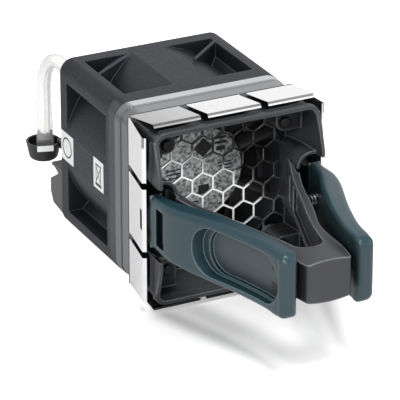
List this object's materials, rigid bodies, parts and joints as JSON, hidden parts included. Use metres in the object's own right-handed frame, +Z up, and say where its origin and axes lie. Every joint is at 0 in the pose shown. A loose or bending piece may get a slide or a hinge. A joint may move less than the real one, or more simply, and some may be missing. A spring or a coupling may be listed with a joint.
{
  "type": "server fan module",
  "caption": "Hot-swap server fan module: square axial fan, sheet collar with sprung contact strips, honeycomb grille, V pull handle with squeeze latch levers, and a sleeved lead to a rear plug.",
  "frame": {"origin": "centre of the fan's rear face, on the fan axis, where the four rear mounting holes' pattern is centred", "axes": "+Y out of the rear face along the fan axis, so the pull handle points along -Y; +Z up; +X to the right for someone who faces the handle"},
  "size_m": [0.0998, 0.2563, 0.0998],
  "materials": {
    "fan_plastic": "fine moulded, satin",
    "impeller_plastic": "satin",
    "stator_plastic": "satin",
    "collar_metal": "satin, dark nickel",
    "strip_metal": "bright spring strip",
    "bezel_plastic": "fine texture",
    "handle_plastic": "fine texture",
    "lever_plastic": "fine texture, dark teal",
    "grille_metal": "punched sheet",
    "label_silver": "metallised film, plain",
    "label_white": "paper sticker, plain marks",
    "screw_steel": "dull zinc",
    "shaft_steel": "ground",
    "magnet": "dull",
    "bearing_steel": "ground",
    "winding": "enamelled copper",
    "board": "solder resist",
    "pin_steel": "ground",
    "spring_steel": "spring wire",
    "sleeve_clear": "clear soft tube",
    "wire_jacket": "pale jackets",
    "boot_plastic": "satin",
    "connector_plastic": "satin",
    "insert_plastic": "satin",
    "contact_metal": "plated",
    "bracket_metal": "grey coat"
  },
  "bodies": {
    "module": {"fan_frame": "fan_plastic", "hub_label": "label_silver", "side_label_rear": "label_white", "side_label_front": "label_white", "collar": "collar_metal", "gasket_top": "strip_metal", "gasket_bottom": "strip_metal", "gasket_left": "strip_metal", "gasket_right": "strip_metal", "bezel": "bezel_plastic", "bezel_screws": "screw_steel", "honeycomb_grille": "grille_metal", "handle": "handle_plastic", "latch_pin_left": "pin_steel", "latch_pin_right": "pin_steel", "latch_spring_left": "spring_steel", "latch_spring_right": "spring_steel", "lead_sleeve": "sleeve_clear", "lead_wires": "wire_jacket", "lead_boot": "boot_plastic", "connector_housing": "connector_plastic", "connector_insert": "insert_plastic", "connector_contacts": "contact_metal", "rear_bracket": "bracket_metal", "bracket_screws": "screw_steel", "front_stator": "stator_plastic", "front_bearings": "bearing_steel", "front_coils": "winding", "front_driver_board": "board", "rear_stator": "stator_plastic", "rear_bearings": "bearing_steel", "rear_coils": "winding", "rear_driver_board": "board"},
    "front_rotor": {"front_impeller": "impeller_plastic", "front_shaft": "shaft_steel", "front_magnet_ring": "magnet"},
    "rear_rotor": {"rear_impeller": "impeller_plastic", "rear_shaft": "shaft_steel", "rear_magnet_ring": "magnet"},
    "lever_left": {"latch_lever_left": "lever_plastic"},
    "lever_right": {"latch_lever_right": "lever_plastic"}
  },
  "joints": [
    {"name": "front_spin", "type": "hinge", "parent": "module", "child": "front_rotor", "pos_m": [0, -0.049, 0], "axis": [0, 1, 0], "continuous": true},
    {"name": "rear_spin", "type": "hinge", "parent": "module", "child": "rear_rotor", "pos_m": [0, -0.027, 0], "axis": [0, 1, 0], "continuous": true},
    {"name": "latch_left", "type": "hinge", "parent": "module", "child": "lever_left", "pos_m": [-0.0427, -0.0856, 0], "axis": [0, 0, 1], "range_deg": [0, 1.4], "stiffness_Nm_per_rad": 0.6, "springref_deg": -8.59, "deforming": ["latch_spring_left"]},
    {"name": "latch_right", "type": "hinge", "parent": "module", "child": "lever_right", "pos_m": [0.0427, -0.0856, 0], "axis": [0, 0, -1], "range_deg": [0, 1.4], "stiffness_Nm_per_rad": 0.6, "springref_deg": -8.59, "deforming": ["latch_spring_right"]}
  ]
}
